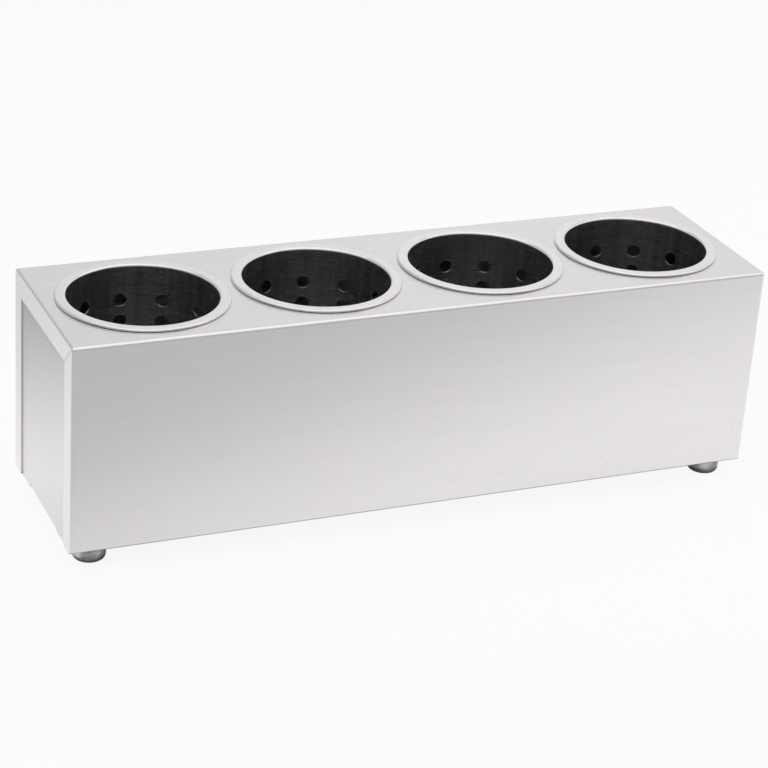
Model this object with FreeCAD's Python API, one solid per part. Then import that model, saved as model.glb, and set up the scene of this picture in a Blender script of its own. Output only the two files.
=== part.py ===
import FreeCAD, Part
import math
import os

# Countertop cutlery dispenser: a folded stainless case with a row of lift-out perforated cups.
#
# Frame: +X along the row of cups, +Y to the rear, +Z up. The origin is on the floor under the
# middle of the case. Sizes are in millimetres. Heights inside a function are true heights.

V = FreeCAD.Vector
X_AXIS = V(1, 0, 0)
Z_AXIS = V(0, 0, 1)

# ---- Case: one folded sheet, two end panels and a base panel --------------------------------
sheet = 1.0               # thickness of every case sheet
bend_radius = 2.0         # outer radius of every fold
case_depth = 130.0        # front face to rear face
case_height = 142.0       # top face down to the underside of the returns
end_margin = 65.5         # axis of an outer cup to the end of the case
end_frame_width = 15.0    # return folded over each end, along the top, front and rear
bottom_return_width = 34.0  # return folded under from the front and from the rear
seam_width = 0.4          # open mitre between two returns at a top corner
fit_gap = 0.3             # clearance of a panel to the inside of a fold
tab_gap = 0.5             # clearance between an end panel's tab and the bottom returns
end_tab_width = 14.0      # tab folded in along the foot of an end panel
edge_radius = 3.0         # rounded corners of flat panels

# ---- Cups -----------------------------------------------------------------------------------
cup_count = 4
cup_pitch = 118.0
cup_bore = 97.0           # inside diameter
cup_wall = 0.8
cup_drop = 136.0          # case top down to the underside of the cup's floor
cup_corner_cone = 6.0     # width and height of the coned corner between wall and floor
cup_hole_gap = 1.0        # radial clearance of the cup in the case's opening
rim_diameter = 112.0
rim_height = 2.0          # crown of the rim above the case top
mouth_fold = 1.6          # width of the fold from the wall to the rim
lip_fold = 1.2            # width of the fold from the rim to its lip
drain_diameter = 8.0
drain_ring_count = 4
drain_ring_radius = 26.0
cup_turns = [89.5, 77.5, 92.0, 92.5]   # how each cup is turned in its opening, in degrees

# ---- Feet -----------------------------------------------------------------------------------
foot_inset = 18.0         # foot axis in from the end and from the face
foot_diameter = 23.0      # where the foot meets the case
foot_waist_diameter = 21.6  # where its side turns in to the base
foot_base_round = 4.0     # radius from side to base
foot_height = 14.0        # underside of the case down to the floor
pad_diameter = 9.2
pad_height = 3.0          # rubber pad, of which pad_showing stands below the metal
pad_showing = 1.0
pad_gap = 0.1             # radial clearance of the pad in its pocket
screw_diameter = 4.0
screw_head_diameter = 7.0
screw_head_height = 2.4
screw_head_gap = 0.3      # clearance of the head in its counterbore and above the pad
screw_gap = 0.25          # radial clearance of the screw in its holes
screw_end = 2.0           # thread standing out above the nut
thread_gap = 0.05         # radial clearance of the nut on the screw
washer_diameter = 9.0
washer_height = 0.8
nut_width = 7.0           # across the flats
nut_height = 3.2

# ---- Worked out -----------------------------------------------------------------------------
case_length = (cup_count - 1) * cup_pitch + 2 * end_margin
case_bottom = foot_height
case_top = case_bottom + case_height
inner_bend = bend_radius - sheet
half_length = case_length / 2
half_depth = case_depth / 2
cup_radius = cup_bore / 2 + cup_wall
cup_hole_radius = cup_radius + cup_hole_gap
cup_centres = [(i - (cup_count - 1) / 2) * cup_pitch for i in range(cup_count)]
panel_inner_x = half_length - 2 * sheet      # inner face of an end panel
foot_x = half_length - foot_inset
foot_y = half_depth - foot_inset
foot_places = {
    "front_left": V(-foot_x, -foot_y, 0),
    "front_right": V(foot_x, -foot_y, 0),
    "rear_left": V(-foot_x, foot_y, 0),
    "rear_right": V(foot_x, foot_y, 0),
}
base_top = case_bottom + 2 * sheet           # upper face of the base panel
screw_hole_radius = screw_diameter / 2 + screw_gap
CUT_MARGIN = 1.0          # how far a cutting tool runs past the face it cuts


# ---- Small helpers --------------------------------------------------------------------------
def block(x0, x1, y0, y1, z0, z1):
    """Box between two corners."""
    return Part.makeBox(x1 - x0, y1 - y0, z1 - z0, V(x0, y0, z0))


def disc(radius, z0, z1, x=0.0, y=0.0):
    """Upright cylinder between two heights."""
    return Part.makeCylinder(radius, z1 - z0, V(x, y, z0), Z_AXIS)


def round_edges(shape, radius, wanted):
    """Fillet the straight edges whose two end points satisfy wanted(a, b)."""
    edges = [e for e in shape.Edges if wanted(e.Vertexes[0].Point, e.Vertexes[-1].Point)]
    return shape.makeFillet(radius, edges)


def fillet_arc(start, middle_of, end):
    """Quarter arc from start to end, bulging away from its centre middle_of."""
    centre = middle_of
    radius = (start - centre).Length
    bulge = (start - centre) + (end - centre)
    through = centre + bulge.normalize() * radius
    return Part.Arc(start, through, end).toShape()


def revolve_profile(edges):
    """Turn a closed profile in the XZ plane about the Z axis into a solid."""
    face = Part.Face(Part.Wire(edges))
    return face.revolve(V(0, 0, 0), Z_AXIS, 360)


def line(a, b):
    return Part.makeLine(a, b)


def at(r, z):
    return V(r, 0, z)


# ---- Case -----------------------------------------------------------------------------------
def folded_shell(grow_in):
    """Case body moved inwards by grow_in, its folds rounded to stay concentric."""
    x, y = half_length - grow_in, half_depth - grow_in
    bottom, top = case_bottom + grow_in, case_top - grow_in
    body = block(-x, x, -y, y, bottom, top)

    def is_fold(a, b):
        upright = abs(a.x - b.x) < 1e-6 and abs(a.y - b.y) < 1e-6
        at_top = min(a.z, b.z) > top - 1e-6
        along_bottom = max(a.z, b.z) < bottom + 1e-6 and abs(a.y - b.y) < 1e-6
        return upright or at_top or along_bottom

    return round_edges(body, bend_radius - grow_in, is_fold)


def end_window(side):
    """Opening left in one end by its three returns; it runs out through the bottom edge."""
    width = half_depth - end_frame_width
    outer, inner = half_length + CUT_MARGIN, half_length - 2 * sheet
    x0, x1 = sorted((side * outer, side * inner))
    top = case_top - end_frame_width
    return block(x0, x1, -width, width, case_bottom - CUT_MARGIN, top)


def end_slot(side):
    """Slot through the bottom returns in which an end panel stands."""
    width = half_depth - bend_radius
    x0, x1 = sorted((side * (half_length - sheet), side * (panel_inner_x - fit_gap)))
    return block(x0, x1, -width, width, case_bottom - CUT_MARGIN, case_bottom + bend_radius)


def mitre_seam(side, y_side):
    """Thin slanted cut between the top return and an upright return at one top corner."""
    reach = math.sqrt(2) * (end_frame_width + CUT_MARGIN - bend_radius)
    cut = Part.makeBox(2 * sheet, reach, seam_width, V(-sheet, 0, -seam_width / 2))
    cut.rotate(V(0, 0, 0), X_AXIS, -45)
    if y_side > 0:
        cut = cut.mirror(V(0, 0, 0), V(0, 1, 0))
    corner = V(side * half_length, y_side * (half_depth - bend_radius), case_top - bend_radius)
    cut.translate(corner)
    return cut


def case_wrap():
    """Front, top and rear folded from one sheet, with returns at the ends and underneath."""
    wrap = folded_shell(0).cut(folded_shell(sheet))
    gap = half_depth - bottom_return_width
    cuts = [block(-half_length, half_length, -gap, gap, case_bottom - CUT_MARGIN, case_bottom + bend_radius)]
    for side in (-1, 1):
        cuts.append(end_window(side))
        cuts.append(end_slot(side))
        for y_side in (-1, 1):
            cuts.append(mitre_seam(side, y_side))
    for x in cup_centres:
        cuts.append(disc(cup_hole_radius, case_top - bend_radius, case_top + CUT_MARGIN, x))
    for place in foot_places.values():
        cuts.append(screw_hole(place))
    return wrap.cut(cuts)


def end_panel(side):
    """Flat end of the case behind the returns, with a tab folded in at its foot."""
    width = half_depth - bend_radius - fit_gap
    top = case_top - bend_radius - fit_gap
    plate = block(panel_inner_x, half_length - sheet, -width, width, case_bottom, top)
    plate = round_edges(plate, edge_radius, lambda a, b: min(a.z, b.z) > top - 1e-6 and abs(a.y - b.y) < 1e-6)
    tab_half = half_depth - bottom_return_width - tab_gap
    tab_end = half_length - sheet - end_tab_width
    outside = block(tab_end, half_length - sheet, -tab_half, tab_half, case_bottom, case_bottom + 2 * bend_radius)
    outside = round_edges(outside, bend_radius, foot_fold(half_length - sheet, case_bottom))
    inside = block(tab_end - CUT_MARGIN, panel_inner_x, -half_depth, half_depth,
                   case_bottom + sheet, case_top)
    inside = round_edges(inside, inner_bend, foot_fold(panel_inner_x, case_bottom + sheet))
    below_tab = block(panel_inner_x, half_length, -tab_half, tab_half, case_bottom, case_bottom + 2 * bend_radius)
    panel = plate.cut(below_tab).fuse(outside.cut(inside)).removeSplitter()
    if side < 0:
        panel = panel.mirror(V(0, 0, 0), X_AXIS)
    return panel


def foot_fold(x, z):
    """Picks the edge along Y at a given place."""
    def wanted(a, b):
        return all(abs(p.x - x) < 1e-6 and abs(p.z - z) < 1e-6 for p in (a, b))
    return wanted


def base_panel():
    """Flat floor of the case, lying on the returns and on the end panels' tabs."""
    x = panel_inner_x - inner_bend - fit_gap
    y = half_depth - bend_radius - fit_gap
    plate = block(-x, x, -y, y, case_bottom + sheet, base_top)
    plate = round_edges(plate, edge_radius, lambda a, b: abs(a.z - b.z) > sheet / 2)
    return plate.cut([screw_hole(place) for place in foot_places.values()])


def screw_hole(place):
    """Hole for a foot's screw through the return and the base panel."""
    return disc(screw_hole_radius, case_bottom - CUT_MARGIN, base_top + CUT_MARGIN, place.x, place.y)


# ---- Cups -----------------------------------------------------------------------------------
def cup_shell():
    """Drawn cup with a coned floor corner and a rim folded out and down, before its drain holes."""
    r_in, r_out = cup_bore / 2, cup_radius
    floor = case_top - cup_drop
    inside_floor = floor + cup_wall
    crown = case_top + rim_height
    under = crown - cup_wall
    r_rim = rim_diameter / 2
    r_lip = r_rim - cup_wall
    r_floor = r_in - cup_corner_cone
    cone_top = inside_floor + cup_corner_cone

    outline = [
        (0, floor), (r_floor, floor), (r_out, cone_top), (r_out, under), (r_lip, under),
        (r_lip, case_top), (r_rim, case_top), (r_rim, crown - lip_fold), (r_rim - lip_fold, crown),
        (r_in + mouth_fold, crown), (r_in, crown - mouth_fold), (r_in, cone_top),
        (r_floor, inside_floor), (0, inside_floor), (0, floor),
    ]
    return revolve_profile([line(at(*a), at(*b)) for a, b in zip(outline, outline[1:])])


def drain_holes():
    """One hole in the middle of the floor and a ring round it."""
    low = case_top - cup_drop - CUT_MARGIN
    high = low + cup_wall + 2 * CUT_MARGIN
    tools = [disc(drain_diameter / 2, low, high)]
    for i in range(drain_ring_count):
        angle = 2 * math.pi * i / drain_ring_count
        tools.append(disc(drain_diameter / 2, low, high,
                          drain_ring_radius * math.cos(angle), drain_ring_radius * math.sin(angle)))
    return tools


def drained_cup():
    """The finished cup on the Z axis, with the first hole of its drain ring on +X."""
    return cup_shell().cut(drain_holes())


# ---- Feet -----------------------------------------------------------------------------------
screw_seat = pad_height + screw_head_gap + screw_head_height   # underside of a screw's head


def foot_shell():
    """Polished foot: slightly tapered side, large round to the base, bored from both ends."""
    waist = foot_waist_diameter / 2
    base = pad_showing
    pocket = pad_diameter / 2 + pad_gap
    counterbore = screw_head_diameter / 2 + screw_head_gap
    edges = [
        line(at(screw_hole_radius, case_bottom), at(foot_diameter / 2, case_bottom)),
        line(at(foot_diameter / 2, case_bottom), at(waist, base + foot_base_round)),
        fillet_arc(at(waist, base + foot_base_round), at(waist - foot_base_round, base + foot_base_round),
                   at(waist - foot_base_round, base)),
        line(at(waist - foot_base_round, base), at(pocket, base)),
        line(at(pocket, base), at(pocket, pad_height)),
        line(at(pocket, pad_height), at(counterbore, pad_height)),
        line(at(counterbore, pad_height), at(counterbore, screw_seat)),
        line(at(counterbore, screw_seat), at(screw_hole_radius, screw_seat)),
        line(at(screw_hole_radius, screw_seat), at(screw_hole_radius, case_bottom)),
    ]
    return revolve_profile(edges)


def foot_pad():
    """Rubber pad pushed into the foot's pocket, standing out below the metal."""
    pad = disc(pad_diameter / 2, 0, pad_height)
    rim = [e for e in pad.Edges if e.BoundBox.ZMax < 1e-6]
    return pad.makeChamfer(pad_showing / 2, rim)


def hexagon_prism(width, z0, height):
    """Upright hexagonal prism, width across the flats."""
    corner = width / math.sqrt(3)
    points = [V(corner * math.cos(math.radians(60 * i)), corner * math.sin(math.radians(60 * i)), z0)
              for i in range(7)]
    return Part.Face(Part.makePolygon(points)).extrude(V(0, 0, height))


def foot_screw():
    """Screw standing head down in the foot, its end above the nut."""
    low = screw_seat - screw_head_height
    end = base_top + washer_height + nut_height + screw_end
    head = disc(screw_head_diameter / 2, low, screw_seat)
    return head.fuse(disc(screw_diameter / 2, screw_seat, end)).removeSplitter()


def foot_washer():
    """Flat washer on the base panel."""
    ring = disc(washer_diameter / 2, base_top, base_top + washer_height)
    return ring.cut(disc(screw_hole_radius, base_top, base_top + washer_height))


def foot_nut():
    """Hexagon nut on the washer."""
    z0 = base_top + washer_height
    return hexagon_prism(nut_width, z0, nut_height).cut(
        disc(screw_diameter / 2 + thread_gap, z0, z0 + nut_height))


# ---- Placing and writing --------------------------------------------------------------------
def placed(shape, place, turn=0.0):
    """Copy of a shape made on the Z axis, turned about it and moved to its place."""
    copy = shape.copy()
    copy.rotate(V(0, 0, 0), Z_AXIS, turn)
    copy.translate(place)
    return copy


def at_every_foot(shape):
    """One group of four copies, a solid at each foot."""
    return Part.makeCompound([placed(shape, place) for place in foot_places.values()])


def all_nodes():
    """Every piece by its node name."""
    nodes = {
        "case_wrap": case_wrap(),
        "end_panel_left": end_panel(-1),
        "end_panel_right": end_panel(1),
        "base_panel": base_panel(),
        "foot_screws": at_every_foot(foot_screw()),
        "foot_washers": at_every_foot(foot_washer()),
        "foot_nuts": at_every_foot(foot_nut()),
    }
    shell, pad = foot_shell(), foot_pad()
    for corner, place in foot_places.items():
        nodes["foot_" + corner] = placed(shell, place)
        nodes["foot_pad_" + corner] = placed(pad, place)
    cup = drained_cup()
    for i, x in enumerate(cup_centres):
        nodes["cup_" + str(i + 1)] = placed(cup, V(x, 0, 0), cup_turns[i])
    return nodes


def main():
    os.makedirs("parts", exist_ok=True)
    for name, shape in all_nodes().items():
        solids = shape.Solids
        print(name, "solids", len(solids), "valid", shape.isValid(), "volume", round(shape.Volume, 1))
        if shape.ShapeType == "Compound" and len(solids) == 1:
            shape = solids[0]
        shape.exportStep(os.path.join("parts", name + ".step"))


main()
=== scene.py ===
import math

import bmesh
import bpy
import numpy as np
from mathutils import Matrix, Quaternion, Vector


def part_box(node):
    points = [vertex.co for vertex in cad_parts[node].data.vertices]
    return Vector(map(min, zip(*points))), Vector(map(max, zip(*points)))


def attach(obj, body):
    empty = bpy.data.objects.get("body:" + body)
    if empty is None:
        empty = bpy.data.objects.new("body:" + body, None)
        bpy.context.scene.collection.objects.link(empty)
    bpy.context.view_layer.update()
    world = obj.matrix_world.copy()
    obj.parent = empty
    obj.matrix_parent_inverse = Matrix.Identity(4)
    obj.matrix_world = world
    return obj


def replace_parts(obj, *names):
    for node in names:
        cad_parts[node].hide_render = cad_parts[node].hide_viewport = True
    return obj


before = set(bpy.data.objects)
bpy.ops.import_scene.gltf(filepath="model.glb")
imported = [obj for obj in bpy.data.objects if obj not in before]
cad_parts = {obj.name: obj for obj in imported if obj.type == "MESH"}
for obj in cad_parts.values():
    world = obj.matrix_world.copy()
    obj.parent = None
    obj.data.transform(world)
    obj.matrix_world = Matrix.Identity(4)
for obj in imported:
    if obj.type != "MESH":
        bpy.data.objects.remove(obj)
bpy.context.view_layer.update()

MM = 0.001

# ---- Sizes of the dressed pieces, in millimetres --------------------------------------------
cup_wall = 0.8
cup_bore_radius = 48.5
floor_corner_radius = 6.0
mouth_radius = 1.6            # where the wall turns out into the rim
rim_radius = 56.0
rim_edge_radius = 1.1         # upper outer edge of the rim
rim_undercut = 0.6            # the folded lip slopes in by this much down to the case
rim_lip_width = 0.4           # flat of the lip that rests on the case
cup_turns = {"cup_1": 89.5, "cup_2": 77.5, "cup_3": 92.0, "cup_4": 92.5}   # degrees

hole_radius = 4.4
hole_columns = 11
hole_rows = 7
hole_row_pitch = 15.0
first_row_below_case_top = 22.5
punched_edge = 0.25           # rounding at each end of a hole

drain_radius = 4.0
drain_ring_radius = 26.0
drain_ring_count = 4
drain_cell_half = 13.0        # the floor between the drains is cut up at this distance

foot_top_radius = 11.5
foot_waist_radius = 10.8
foot_shoulder = 0.5           # round of the upper edge
foot_base_round = 3.0
foot_base = 1.0
foot_pocket_radius = 4.7
foot_pad_height = 3.0
foot_counterbore_radius = 3.8
foot_screw_seat = 5.7
foot_screw_radius = 2.25
foot_centre_x, foot_centre_y = 224.5, 47.0

case_length = 485.0
case_depth = 130.0
case_top = 156.0
case_bottom = 14.0
end_frame_width = 15.0
end_face_depth = 0.3          # sheet this close to an end is the outer face of a return
cup_pitch = 118.0

# ---- Fineness of the surfaces ---------------------------------------------------------------
cell_steps = 16               # points on the long side of a hole's cell
cell_steps_up = 8             # and on its short side
cell_grades = (0.0, 0.22, 0.55, 1.0)      # rings of a cell, from the hole to the edge
around = hole_columns * cell_steps        # points round a cup
drain_steps_out = 12          # points on a floor sector's side, from middle to edge
drain_grades = (0.0, 0.3, 0.65, 1.0)
floor_steps = 3               # steps through the floor's thickness
foot_points = 96              # points round a foot
weld_distance = 0.002         # millimetres
sharp_angle = 38.0            # degrees; a fold by more than this stays a crisp edge


# ---- Surfaces ------------------------------------------------------------------------------
def polar(a, r, z, centre):
    """Points at angle a and distance r round an upright line through centre, at height z.

    x = centre x + r cos a, y = centre y + r sin a.
    """
    return np.stack([centre[0] + r * np.cos(a), centre[1] + r * np.sin(a), z + 0 * a], axis=-1)


class Surface:
    """Grids of points that together close one skin. Each is an array (..., rows, columns, 3)."""

    def __init__(self):
        self.points, self.faces, self.count = [], [], 0

    def add(self, grid):
        """Adds a grid whose neighbouring points make four-sided faces, and joins its last
        column to its first.
        """
        rows, columns = grid.shape[-3:-1]
        index = self.count + np.arange(grid.size // 3).reshape(-1, rows, columns)
        index = np.concatenate([index, index[:, :, :1]], axis=2)
        corners = [index[:, :-1, :-1], index[:, :-1, 1:], index[:, 1:, 1:], index[:, 1:, :-1]]
        self.faces.append(np.stack(corners, axis=-1).reshape(-1, 4))
        self.points.append(grid.reshape(-1, 3))
        self.count += grid.size // 3

    def piece(self, name, body, finish, slot):
        """Welds the grids' shared edges, turns the faces outwards and gives body and finish."""
        points = np.concatenate(self.points).astype(np.float64) * MM
        faces = np.concatenate(self.faces)
        mesh = bpy.data.meshes.new(name)
        mesh.from_pydata(points, [], faces)
        shell = bmesh.new()
        shell.from_mesh(mesh)
        bmesh.ops.remove_doubles(shell, verts=shell.verts, dist=weld_distance * MM)
        bmesh.ops.recalc_face_normals(shell, faces=shell.faces)
        shell.to_mesh(mesh)
        shell.free()
        mesh.polygons.foreach_set("use_smooth", np.ones(len(mesh.polygons), dtype=bool))
        mesh.set_sharp_from_angle(angle=math.radians(sharp_angle))
        mesh.materials.append(finish)
        piece = bpy.data.objects.new(name, mesh)
        bpy.context.scene.collection.objects.link(piece)
        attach(piece, body)
        return piece


def turned(profile, angles, centre):
    """Profile (radius, height) turned about the upright line through centre."""
    r, z = np.asarray(profile, dtype=float).T[:, :, None]
    return polar(np.asarray(angles)[None, :], r, z, centre)


def arc(centre, radius, start, end, steps):
    """Points on a circle in the (radius, height) plane from one angle to another, in degrees."""
    a = np.radians(np.linspace(start, end, steps + 1))
    return np.stack([centre[0] + radius * np.cos(a), centre[1] + radius * np.sin(a)], axis=1)


def run(start, end, steps=1):
    """Evenly spaced points on a straight line of a profile."""
    t = np.linspace(0, 1, steps + 1)[:, None]
    return np.asarray(start) + (np.asarray(end) - np.asarray(start)) * t


def joined(*parts):
    """One profile from its arcs and straight runs, without the points they share."""
    points = np.concatenate(parts)
    keep = np.append(True, np.linalg.norm(np.diff(points, axis=0), axis=1) > 1e-6)
    return points[keep]


def cell_edge(half_u, half_v, steps_u, steps_v):
    """Points round a rectangle, anticlockwise from its lower right corner, even on each side."""
    u, v = np.linspace(-1, 1, steps_u + 1)[:-1], np.linspace(-1, 1, steps_v + 1)[:-1]
    right = np.stack([0 * v + half_u, half_v * v], axis=1)
    top = np.stack([-half_u * u, 0 * u + half_v], axis=1)
    return np.concatenate([right, top, -right, -top])


def cell_directions(half_u, half_v, steps_u, steps_v):
    """Angles of the hole's points that belong to cell_edge's points.

    They go in even steps between the directions of the rectangle's corners.
    """
    corner = math.atan2(half_v, half_u)
    v = np.linspace(-corner, corner, steps_v + 1)[:-1]
    u = np.linspace(corner, math.pi - corner, steps_u + 1)[:-1]
    return np.concatenate([v, u, v + math.pi, u + math.pi])


def cell_between(circle, edge, grades):
    """Rings of a cell: circle + (edge - circle) * t for each grade t, 0 at circle, 1 at edge."""
    return circle + (edge - circle) * np.array(grades)[:, None, None]


# ---- Cups ----------------------------------------------------------------------------------
def on_wall(s, z, radius, turn, centre):
    """A point of the rolled-out wall (arc length at the bore, height) on a cylinder."""
    return polar(turn + s / cup_bore_radius, radius, z, centre)


def perforated_wall(skin, r_in, r_out, turn, centre, first_row):
    """Both sides of the wall's band of round holes, and the holes' own walls.

    The rolled-out wall is cut into one rectangle per hole, and cell_between fills it. The hole's
    own wall is the same circle, wider by a quarter round at each side of the sheet.
    """
    half_u, half_v = math.pi * r_in / hole_columns, hole_row_pitch / 2
    edge = cell_edge(half_u, half_v, cell_steps, cell_steps_up)
    way = cell_directions(half_u, half_v, cell_steps, cell_steps_up)
    ring = np.stack([np.cos(way), np.sin(way)], axis=1)
    cell = cell_between(ring * (hole_radius + punched_edge), edge, cell_grades)

    columns, rows = np.meshgrid(np.arange(hole_columns), np.arange(hole_rows))
    middle_s = (columns * 2 * half_u).reshape(-1, 1, 1)
    middle_z = (first_row - rows * hole_row_pitch).reshape(-1, 1, 1)
    for radius in (r_in, r_out):
        skin.add(on_wall(middle_s + cell[..., 0], middle_z + cell[..., 1], radius, turn, centre))

    quarter = np.radians([0, 30, 60, 90])
    round_off = punched_edge * (1 - np.sin(quarter))
    depth = punched_edge * (1 - np.cos(quarter))
    depths = np.concatenate([r_in + depth, (r_out - depth)[::-1]])[:, None]
    radii = hole_radius + np.concatenate([round_off, round_off[::-1]])
    bore = ring[None] * radii[:, None, None]
    skin.add(on_wall(middle_s + bore[..., 0], middle_z + bore[..., 1], depths[None], turn, centre))


def drained_floor(skin, height_in, height_out, r_middle, r_edge, turn, centre):
    """Both sides of the floor with its drains.

    One sector holds each drain of the ring, filled by cell_between in polar coordinates (angle,
    radius) about the cup's axis, and a plain ring goes round the middle drain.
    """
    sector = math.pi / drain_ring_count
    half = (r_edge - r_middle) / 2
    steps = around // drain_ring_count
    edge = cell_edge(sector, half, steps, drain_steps_out) + (0, (r_edge + r_middle) / 2)
    way = cell_directions(sector * drain_ring_radius, half, steps, drain_steps_out)
    out = drain_ring_radius + drain_radius * np.sin(way)
    side = drain_radius * np.cos(way)
    circle = np.stack([np.arctan2(side, out), np.hypot(side, out)], axis=1)
    cell = cell_between(circle, edge, drain_grades)
    middle = (turn + 2 * sector * np.arange(drain_ring_count)).reshape(-1, 1, 1)

    def at_height(place, z):
        return polar(middle + place[..., 0], place[..., 1], z, centre)

    for z in (height_in, height_out):
        skin.add(at_height(cell, z))
    levels = np.linspace(height_in, height_out, floor_steps + 1)[:, None]
    bore = np.broadcast_to(circle, (floor_steps + 1, *circle.shape))
    skin.add(at_height(bore, levels))

    angles = turn + np.arange(around) * 2 * math.pi / around
    plug = joined(run((r_middle, height_in), (drain_radius, height_in), 3),
                  run((drain_radius, height_in), (drain_radius, height_out), floor_steps),
                  run((drain_radius, height_out), (r_middle, height_out), 3))
    skin.add(turned(plug, angles, centre))


def cup(name):
    """One cup: perforated wall, drained floor, and the turned rim that rests on the case."""
    low, high = (np.array(corner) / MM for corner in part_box(name))
    centre = (low + high)[:2] / 2
    turn = math.radians(cup_turns[name])
    r_in, r_out = cup_bore_radius, cup_bore_radius + cup_wall
    crown, under = high[2], high[2] - cup_wall
    floor_out, floor_in = low[2], low[2] + cup_wall
    first_row = case_top - first_row_below_case_top
    band_top = first_row + hole_row_pitch / 2
    band_foot = first_row - hole_row_pitch * (hole_rows - 0.5)
    r_middle, r_edge = drain_ring_radius - drain_cell_half, drain_ring_radius + drain_cell_half
    corner = (r_in - floor_corner_radius, floor_in + floor_corner_radius)
    mouth = (r_in + mouth_radius, crown - mouth_radius)
    edge = (rim_radius - rim_edge_radius, crown - rim_edge_radius)
    lip_out = rim_radius - rim_undercut
    lip_in = lip_out - rim_lip_width
    angles = turn + np.arange(around) * 2 * math.pi / around

    skin = Surface()
    perforated_wall(skin, r_in, r_out, turn, centre, first_row)
    drained_floor(skin, floor_in, floor_out, r_middle, r_edge, turn, centre)
    rim = joined(
        run((r_in, band_top), (r_in, mouth[1]), 6),
        arc(mouth, mouth_radius, 180, 90, 8),
        run((mouth[0], crown), (edge[0], crown), 6),
        arc(edge, rim_edge_radius, 90, 0, 6),
        run((rim_radius, edge[1]), (rim_radius, case_top + rim_undercut)),
        run((rim_radius, case_top + rim_undercut), (lip_out, case_top), 3),
        run((lip_out, case_top), (lip_in, case_top)),
        run((lip_in, case_top), (lip_in, under), 2),
        run((lip_in, under), (mouth[0], under), 4),
        arc(mouth, mouth_radius - cup_wall, 90, 180, 5),
        run((r_out, mouth[1]), (r_out, band_top), 6))
    inside = joined(
        run((r_in, band_foot), (r_in, corner[1]), 2),
        arc(corner, floor_corner_radius, 0, -90, 10),
        run((corner[0], floor_in), (r_edge, floor_in), 2))
    outside = joined(
        run((r_out, band_foot), (r_out, corner[1]), 2),
        arc(corner, floor_corner_radius + cup_wall, 0, -90, 10),
        run((corner[0], floor_out), (r_edge, floor_out), 2))
    for profile in (rim, inside, outside):
        skin.add(turned(profile, angles, centre))
    return skin.piece(f"{name}_perforated", name, cup_finish, "cup_steel")


# ---- Feet ----------------------------------------------------------------------------------
def foot(name):
    """One foot, turned: tapered side, a large round to the base, bores for pad and screw."""
    low, high = (np.array(corner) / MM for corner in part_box(name))
    centre = (low + high)[:2] / 2
    top = high[2]
    shoulder = (foot_top_radius - foot_shoulder, top - foot_shoulder)
    toe = (foot_waist_radius - foot_base_round, foot_base + foot_base_round)
    profile = joined(
        run((foot_screw_radius, top), (shoulder[0], top), 2),
        arc(shoulder, foot_shoulder, 90, 0, 5),
        run((foot_top_radius, shoulder[1]), (foot_waist_radius, toe[1]), 4),
        arc(toe, foot_base_round, 0, -90, 12),
        run((toe[0], foot_base), (foot_pocket_radius, foot_base)),
        run((foot_pocket_radius, foot_base), (foot_pocket_radius, foot_pad_height)),
        run((foot_pocket_radius, foot_pad_height), (foot_counterbore_radius, foot_pad_height)),
        run((foot_counterbore_radius, foot_pad_height), (foot_counterbore_radius, foot_screw_seat)),
        run((foot_counterbore_radius, foot_screw_seat), (foot_screw_radius, foot_screw_seat)),
        run((foot_screw_radius, foot_screw_seat), (foot_screw_radius, top)))
    skin = Surface()
    skin.add(turned(profile, np.arange(foot_points) * 2 * math.pi / foot_points, centre))
    return skin.piece(f"{name}_polished", "case", foot_finish, "foot_metal")


# ---- Finishes ------------------------------------------------------------------------------
class Value:
    """A number that varies over a finish. Arithmetic on it adds Math nodes."""

    def __init__(self, finish, socket):
        self.finish, self.socket = finish, socket

    def math(self, operation, *numbers):
        """A Math node on numbers and values."""
        node = self.finish.node("ShaderNodeMath", {"operation": operation},
                                dict(enumerate(numbers)))
        return Value(self.finish, node.outputs[0])

    def __add__(self, other):
        return self.math("ADD", self, other)

    def __sub__(self, other):
        return self.math("SUBTRACT", self, other)

    def __rsub__(self, other):
        return self.math("SUBTRACT", other, self)

    def __mul__(self, other):
        return self.math("MULTIPLY", self, other)

    def __truediv__(self, other):
        return self.math("DIVIDE", self, other)

    def __pow__(self, other):
        return self.math("POWER", self, other)

    def __gt__(self, other):
        return self.math("GREATER_THAN", self, other)

    def __abs__(self):
        return self.math("ABSOLUTE", self)

    __radd__, __rmul__ = __add__, __mul__


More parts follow.
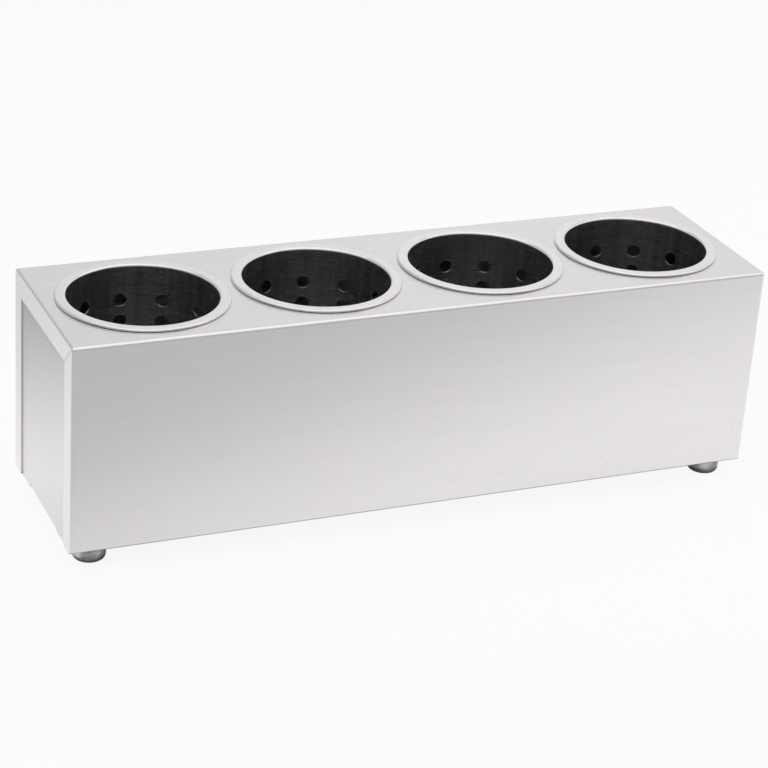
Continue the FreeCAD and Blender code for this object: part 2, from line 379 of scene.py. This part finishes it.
class Finish:
    """A material of one metal or rubber surface, made of nodes on the object's coordinates."""

    def __init__(self, name, metallic=1.0, **constants):
        self.material = bpy.data.materials.new(name)
        self.material.use_nodes = True
        self.tree = self.material.node_tree
        self.tree.nodes.clear()
        self.surface = self.node("ShaderNodeBsdfPrincipled", {},
                                 {"Metallic": metallic, **constants})
        self.output = self.node("ShaderNodeOutputMaterial", {},
                                {"Surface": self.surface.outputs[0]})
        place = self.node("ShaderNodeTexCoord", {}, {})
        split = self.node("ShaderNodeSeparateXYZ", {}, {0: place.outputs["Object"]})
        self.x, self.y, self.z = (Value(self, split.outputs[i]) for i in range(3))

    def node(self, kind, settings, inputs):
        """Adds a node: its settings first, then a number, colour or link for its sockets."""
        node = self.tree.nodes.new(kind)
        for name, value in settings.items():
            setattr(node, name, value)
        by_identifier = {s.identifier: s for s in node.inputs}
        for key, value in inputs.items():
            socket = by_identifier.get(key) or node.inputs[key]
            value = getattr(value, "socket", value)
            if isinstance(value, bpy.types.NodeSocket):
                self.tree.links.new(value, socket)
            else:
                socket.default_value = value
        return node

    def noise(self, x, y, z, detail=2.0, roughness=0.5):
        """Soft noise from 0 to 1, about one bump per unit of the given coordinates."""
        place = self.node("ShaderNodeCombineXYZ", {}, {0: x, 1: y, 2: z})
        node = self.node("ShaderNodeTexNoise", {},
                         {"Vector": place.outputs[0], "Scale": 1.0,
                          "Detail": detail, "Roughness": roughness})
        return Value(self, node.outputs[0])

    def step(self, value, low, high):
        """0 below low, 1 above high, smooth between."""
        node = self.node("ShaderNodeMapRange", {"interpolation_type": "SMOOTHSTEP"},
                         {"Value": value, "From Min": low, "From Max": high,
                          "To Min": 0.0, "To Max": 1.0})
        return Value(self, node.outputs[0])

    def pick(self, mask, a, b):
        """a where the mask is 0, b where it is 1."""
        return mask * (b - a) + a

    def blend(self, mask, a, b):
        """Colour a where the mask is 0, colour b where it is 1."""
        node = self.node("ShaderNodeMix", {"data_type": "RGBA"},
                         {"Factor_Float": mask, "A_Color": a, "B_Color": b})
        return node.outputs[2]

    def bump(self, height, distance):
        """Raises the surface by height times distance, in metres."""
        node = self.node("ShaderNodeBump", {},
                         {"Strength": 1.0, "Distance": distance, "Height": height})
        self.set("Normal", node.outputs[0])

    def set(self, name, value):
        """Links a value, colour or normal to the surface's socket of that name."""
        self.tree.links.new(getattr(value, "socket", value), self.surface.inputs[name])


def grey(level):
    """The metal's near-neutral grey at one level."""
    return (level, level * 0.985, level, 1.0)


def brushed(finish, along, across_1, across_2, light, dark, roughness, seed=0.0):
    """Straight brushing: noise stretched along one direction, from hairlines to soft bands.

    The factors on the coordinates are bumps per metre, few along the brushing and many across
    it. The tone is a weighted sum of the three, and goes from dark to light.
    """
    hair = finish.noise(along * 18 + seed, across_1 * 2300, across_2 * 2300,
                        detail=3, roughness=0.6)
    line = finish.noise(along * 7 + seed, across_1 * 520, across_2 * 520)
    band = finish.noise(along * 12 + seed, across_1 * 140, across_2 * 140)
    smudge = finish.noise(finish.x * 21 + seed, finish.y * 21, finish.z * 21, roughness=0.55)
    tone = hair * 0.32 + line * 0.16 + band * 0.52
    finish.set("Base Color", finish.blend(finish.step(tone, 0.25, 0.75), dark, light))
    finish.set("Roughness", roughness - 0.06 + line * 0.04 + hair * 0.02 + smudge * 0.05)
    finish.bump(hair * 1.0 + line * 0.3, 0.0000035)


def case_steel():
    """Sheet brushed along its length. On the ends the brushing runs over the fold with the sheet.

    The end returns are duller and painted paler as painted light, the top folds carry a painted
    highlight and the bottom fold carries painted shade.
    """
    finish = Finish("brushed_case_sheet")
    on_end = abs(finish.x) > (case_length / 2 - end_face_depth) * MM
    from_top = case_top * MM - finish.z
    from_side = case_depth / 2 * MM - abs(finish.y)
    on_side_strip = from_top > from_side
    along = finish.pick(on_end, finish.x, finish.pick(on_side_strip, finish.z, finish.y))
    across_1 = finish.pick(on_end, finish.y, finish.pick(on_side_strip, finish.y, finish.z))
    across_2 = finish.pick(on_end, finish.z, 0.37)      # the ends are flat: any one plane will do
    # Painted shade: the bottom fold is painted dark grey.
    above_fold = finish.step(finish.z, (case_bottom + 0.8) * MM, (case_bottom + 1.8) * MM)
    fold = (1 - above_fold) * (1 - on_end)
    # Painted highlight: the top folds are painted palest; they are also rougher.
    edge = ((1 - finish.step(from_side, 0.8 * MM, 2.0 * MM))
            * (1 - finish.step(from_top, 0.8 * MM, 2.0 * MM)))
    # Painted light: the end returns are painted paler than the rest of the sheet and made mostly
    # non-metal, so they catch more light.
    light = finish.blend(edge, finish.blend(on_end, grey(0.865), grey(0.97)), grey(0.99))
    dark = finish.blend(edge, finish.blend(on_end, grey(0.84), grey(0.94)), grey(0.97))
    light, dark = finish.blend(fold, light, grey(0.46)), finish.blend(fold, dark, grey(0.42))
    roughness = finish.pick(on_end, 0.27 + edge * 0.16, 0.45)
    brushed(finish, along, across_1, across_2, light, dark, roughness)
    finish.set("Metallic", 1 - on_end * 0.7)
    return finish.material


def end_panel_steel():
    """End panels: the same sheet with its brushing upright, with painted shade in the corner at the
    frame.
    """
    finish = Finish("brushed_end_sheet")
    inside_top = (case_top - end_frame_width) * MM - finish.z
    inside_side = (case_depth / 2 - end_frame_width) * MM - abs(finish.y)

    def near_frame(start, stop):
        return 1 - (finish.step(inside_top, start * MM, stop * MM)
                    * finish.step(inside_side, start * MM, stop * MM))

    # Painted shade: the panel is painted dark next to the frame, strongly within 2 mm and faintly
    # out to 6 mm.
    corner = near_frame(0.3, 2.2) * 0.85 + near_frame(2.0, 6.0) * 0.15
    light = finish.blend(corner, grey(0.845), grey(0.44))
    dark = finish.blend(corner, grey(0.82), grey(0.40))
    brushed(finish, finish.z, finish.y, finish.x, light, dark, 0.30, seed=4.3)
    return finish.material


def base_steel():
    """Base panel: lengthwise brushing, a little duller for want of polishing."""
    finish = Finish("brushed_base_sheet")
    brushed(finish, finish.x, finish.y, finish.z, grey(0.66), grey(0.56), 0.34, seed=9.1)
    return finish.material


def cup_steel():
    """Cup: satin turned round the axis, so its lines follow the wall, the rim and the floor.

    The wall is painted darker than the rim as painted shade in the cup, and the foot of its lip,
    where it meets the case, is painted dark as painted shade.
    x is wrapped by the cups' pitch, so that each cup has its own axis.
    """
    finish = Finish("turned_cup_steel")
    half_pitch = cup_pitch / 2 * MM
    x = finish.x - half_pitch
    x = x.math("WRAP", x, -half_pitch, half_pitch)
    r = (x * x + finish.y * finish.y) ** 0.5
    cos_a, sin_a = x / r, finish.y / r
    meridian = r + finish.z
    hair = finish.noise(cos_a * 2.5, sin_a * 2.5, meridian * 1700, detail=3, roughness=0.6)
    line = finish.noise(cos_a * 1.5, sin_a * 1.5, meridian * 380)
    drawn = finish.noise(cos_a * 11, sin_a * 11, finish.z * 3)
    smudge = finish.noise(finish.x * 30, finish.y * 30, finish.z * 30)
    tone = hair * 0.40 + line * 0.10 + drawn * 0.50
    rim = finish.step(finish.z, (case_top - 1.0) * MM, (case_top + 1.2) * MM)
    # Painted shade: the foot of the lip, where it meets the case, is painted near black.
    above_seat = finish.step(finish.z, (case_top + 0.05) * MM, (case_top + 0.40) * MM)
    seat_shade = (r > (rim_radius - 2.0) * MM) * (1 - above_seat)
    # Painted shade: the wall is painted darker than the rim, for the shade inside the cup.
    dark = finish.blend(rim, grey(0.48), grey(0.87))
    light = finish.blend(rim, grey(0.76), grey(0.93))
    metal = finish.blend(finish.step(tone, 0.30, 0.70), dark, light)
    finish.set("Base Color", finish.blend(seat_shade, metal, grey(0.10)))
    finish.set("Roughness", 0.22 + line * 0.02 + hair * 0.03 + smudge * 0.05 - rim * 0.05)
    finish.bump((hair * 0.7 + line * 0.2) * (rim * 0.85 + 0.15), 0.000006)
    return finish.material


def foot_chrome():
    """Foot: polished, with turning lines, patches of painted reflection round its side, and a
    duller base painted dark as painted shade.

    The side that points out towards the case's end carries a painted highlight.
    """
    finish = Finish("polished_foot_metal")
    x = abs(finish.x) - foot_centre_x * MM
    y = abs(finish.y) - foot_centre_y * MM
    r = (x * x + y * y) ** 0.5
    turn_line = finish.noise(0.0, 0.0, finish.z * 2600)
    rub = finish.noise(finish.x * 160, finish.y * 160, finish.z * 260, detail=3, roughness=0.6)
    patch = finish.noise(x / r * 0.8, y / r * 0.8, finish.z * 270)
    # Painted shade: the base is painted dark near the floor; it is also rougher there.
    base_shade = 1 - finish.step(finish.z, 3.4 * MM, 5.8 * MM)
    # Painted highlight: the side towards the case's end is painted near white.
    highlight_side = finish.step(x / r, 0.58, 0.86) * finish.step(patch, 0.25, 0.55)
    # Painted reflection: horizontal patches of dark and light grey stand in for what the chrome
    # mirrors.
    reflection_mottle = finish.step(patch * 0.85 + rub * 0.15, 0.36, 0.62)
    painted_reflections = finish.blend(highlight_side, finish.blend(reflection_mottle, grey(0.24), grey(0.56)), grey(0.88))
    finish.set("Base Color", finish.blend(base_shade, painted_reflections, grey(0.16)))
    finish.set("Roughness", 0.03 + rub * 0.06 + turn_line * 0.02 + base_shade * 0.10)
    finish.bump(turn_line * 0.6 + rub * 0.6, 0.000006)
    return finish.material


def pad_rubber():
    """Rubber pad: near black, matt, with grain and a little dust."""
    finish = Finish("moulded_pad_rubber", metallic=0.0)
    grain = finish.noise(finish.x * 2400, finish.y * 2400, finish.z * 2400)
    dust = finish.noise(finish.x * 300, finish.y * 300, finish.z * 300, detail=3, roughness=0.6)
    finish.set("Base Color", finish.blend(finish.step(dust, 0.45, 0.8), grey(0.020), grey(0.060)))
    finish.set("Roughness", 0.58 + grain * 0.12 + dust * 0.14)
    finish.bump(grain, 0.00005)
    return finish.material


def fixing_steel():
    """Screws, washers and nuts: plain turned steel with small scratches."""
    finish = Finish("plain_fixing_steel")
    grain = finish.noise(finish.x * 900, finish.y * 900, finish.z * 2500, detail=3, roughness=0.6)
    patch = finish.noise(finish.x * 220, finish.y * 220, finish.z * 220)
    finish.set("Base Color", finish.blend(finish.step(patch, 0.3, 0.7), grey(0.46), grey(0.60)))
    finish.set("Roughness", 0.30 + grain * 0.16 + patch * 0.08)
    finish.bump(grain, 0.00002)
    return finish.material


cup_finish = cup_steel()
foot_finish = foot_chrome()
node_finishes = {"case_wrap": case_steel(), "end_panel": end_panel_steel(),
                 "base_panel": base_steel(), "foot_pad": pad_rubber(),
                 "foot_screws": fixing_steel()}
node_finishes["foot_washers"] = node_finishes["foot_nuts"] = node_finishes["foot_screws"]

for name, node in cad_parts.items():
    for first_words, material in node_finishes.items():
        if name.startswith(first_words):
            node.data.materials.clear()
            node.data.materials.append(material)

for name in cup_turns:
    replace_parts(cup(name), name)
for corner in ("front_left", "front_right", "rear_left", "rear_right"):
    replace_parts(foot(f"foot_{corner}"), f"foot_{corner}")


# ---- Studio --------------------------------------------------------------------------------
def studio_paper():
    """White paper that glows to the camera and, by places, to what the metal mirrors.

    The glow is a product of soft steps over the floor and the wall, so that the steel mirrors
    the darker and lighter sides of a studio.
    """
    paper = Finish("studio_paper", metallic=0.0, Roughness=0.9)
    radius = (paper.x * paper.x + paper.y * paper.y) ** 0.5
    ahead = paper.x * -0.41 + paper.y * -0.912      # metres towards the camera
    behind = paper.y * 0.93 - paper.x * 0.37        # metres away, a little to the left
    rightward = paper.x * 0.85 - paper.y * 0.53     # metres to the right, a little forward
    low = 1 - paper.step(paper.z, 0.02, 0.35)
    near = 1 - paper.step(ahead, 0.046, 0.36) * (low * 0.16 + 0.24)
    pool = near * (1 - paper.step(ahead, 0.7, 1.6) * 0.30)
    pool = pool * (1 - paper.step(behind, 0.13, 0.55) * low * 0.56)
    pool = pool * (1 - (1 - paper.step(rightward, -1.3, 0.3)) * (1 - low) * 0.16)
    pool = pool * (1 - (1 - paper.step(rightward, -2.2, -1.1)) * (1 - low) * 0.26)
    pool = pool * (1 - paper.step(rightward, -0.5, 0.5) * (1 - low) * 0.10)
    pool = pool * (1 - paper.step(radius, 1.6, 2.6) * 0.05)
    beneath = ((1 - paper.step(abs(paper.x), 0.236, 0.250))
               * (1 - paper.step(abs(paper.y), 0.058, 0.072)))
    rays = paper.node("ShaderNodeLightPath", {}, {})
    to_camera, to_gloss, through = (Value(paper, rays.outputs[f"Is {kind} Ray"])
                                    for kind in ("Camera", "Glossy", "Transmission"))
    mirrored = to_gloss.math("MAXIMUM", to_gloss, through)
    level = paper.pick(to_camera, pool, pool * 0.02 + 0.98)
    white, black = (1.0, 0.985, 1.0, 1.0), (0.0, 0.0, 0.0, 1.0)
    paper.set("Base Color", paper.blend(level * 0.92, black, white))
    glow = paper.node("ShaderNodeEmission", {},
                      {"Color": paper.blend(level, black, white), "Strength": 1.0})
    share = to_camera * 0.92 + mirrored * (0.68 + (1 - low) * 0.22) * (1 - beneath * 0.85)
    both = paper.node("ShaderNodeMixShader", {},
                      {0: share, 1: paper.surface.outputs[0], 2: glow.outputs[0]})
    paper.tree.links.new(both.outputs[0], paper.output.inputs["Surface"])
    return paper.material


def studio_sweep():
    """Round floor that curves up into a wall: a disc, a quarter circle and an upright, turned."""
    middle, flat, bend, height = 600, 2200, 900, 2600      # millimetres
    profile = joined(run((1, 0), (middle, 0), 12), run((middle, 0), (flat, 0), 10),
                     arc((flat, bend), bend, -90, 0, 16),
                     run((flat + bend, bend), (flat + bend, height), 6))
    grid = turned(profile, np.arange(128) * 2 * math.pi / 128, (0.0, 0.0))
    rows, columns = grid.shape[:2]
    index = np.arange(rows * columns).reshape(rows, columns)
    index = np.concatenate([index, index[:, :1]], axis=1)
    faces = np.stack([index[:-1, :-1], index[1:, :-1], index[1:, 1:], index[:-1, 1:]], axis=-1)
    faces = faces.reshape(-1, 4).tolist() + [index[0, :-1].tolist()]
    mesh = bpy.data.meshes.new("studio_sweep")
    mesh.from_pydata(grid.reshape(-1, 3) * MM, [], faces)
    mesh.polygons.foreach_set("use_smooth", np.ones(len(mesh.polygons), dtype=bool))
    mesh.materials.append(studio_paper())
    sweep = bpy.data.objects.new("studio_sweep", mesh)
    bpy.context.scene.collection.objects.link(sweep)


def softbox(name, location, width, height, radiance, mirrored):
    """Area lamp aimed at the case, whose face has the given brightness, whatever its size.

    Only a mirrored one shows in the metal.
    """
    lamp = bpy.data.lights.new(name, "AREA")
    lamp.shape = "RECTANGLE"
    lamp.size, lamp.size_y = width, height
    lamp.energy = radiance * width * height * math.pi
    towards_case = Vector((0, 0, 0.1)) - Vector(location)
    holder = bpy.data.objects.new(name, lamp)
    holder.location = location
    holder.rotation_euler = towards_case.to_track_quat("-Z", "Y").to_euler()
    holder.visible_glossy = mirrored
    bpy.context.scene.collection.objects.link(holder)


studio_sweep()
softbox("softbox_overhead", (0.1, -0.25, 2.1), 4.2, 4.2, radiance=0.5, mirrored=True)
softbox("softbox_left", (-2.0, -0.5, 1.2), 1.8, 1.6, radiance=2.7, mirrored=False)
softbox("softbox_right", (2.0, 0.3, 1.3), 1.4, 1.4, radiance=1.25, mirrored=False)

world = bpy.data.worlds.new("studio_room")
world.use_nodes = True
background = world.node_tree.nodes["Background"]
background.inputs["Color"].default_value = (0.50, 0.49, 0.50, 1.0)
background.inputs["Strength"].default_value = 1.0
bpy.context.scene.world = world

camera_data = bpy.data.cameras.new("product_camera")
camera_data.lens = 111.67
camera_data.sensor_width = 36.0
camera = bpy.data.objects.new("product_camera", camera_data)
camera.location = (-0.61316, -1.32074, 0.75686)
camera_aim = Vector((-0.00528, 0.0, 0.07351))
camera_roll = Quaternion((0, 0, 1), math.radians(4.13))
camera.rotation_mode = "QUATERNION"
camera.rotation_quaternion = ((camera_aim - camera.location).to_track_quat("-Z", "Y")
                              @ camera_roll)
bpy.context.scene.collection.objects.link(camera)
bpy.context.scene.camera = camera
bpy.context.scene.view_settings.view_transform = "Standard"
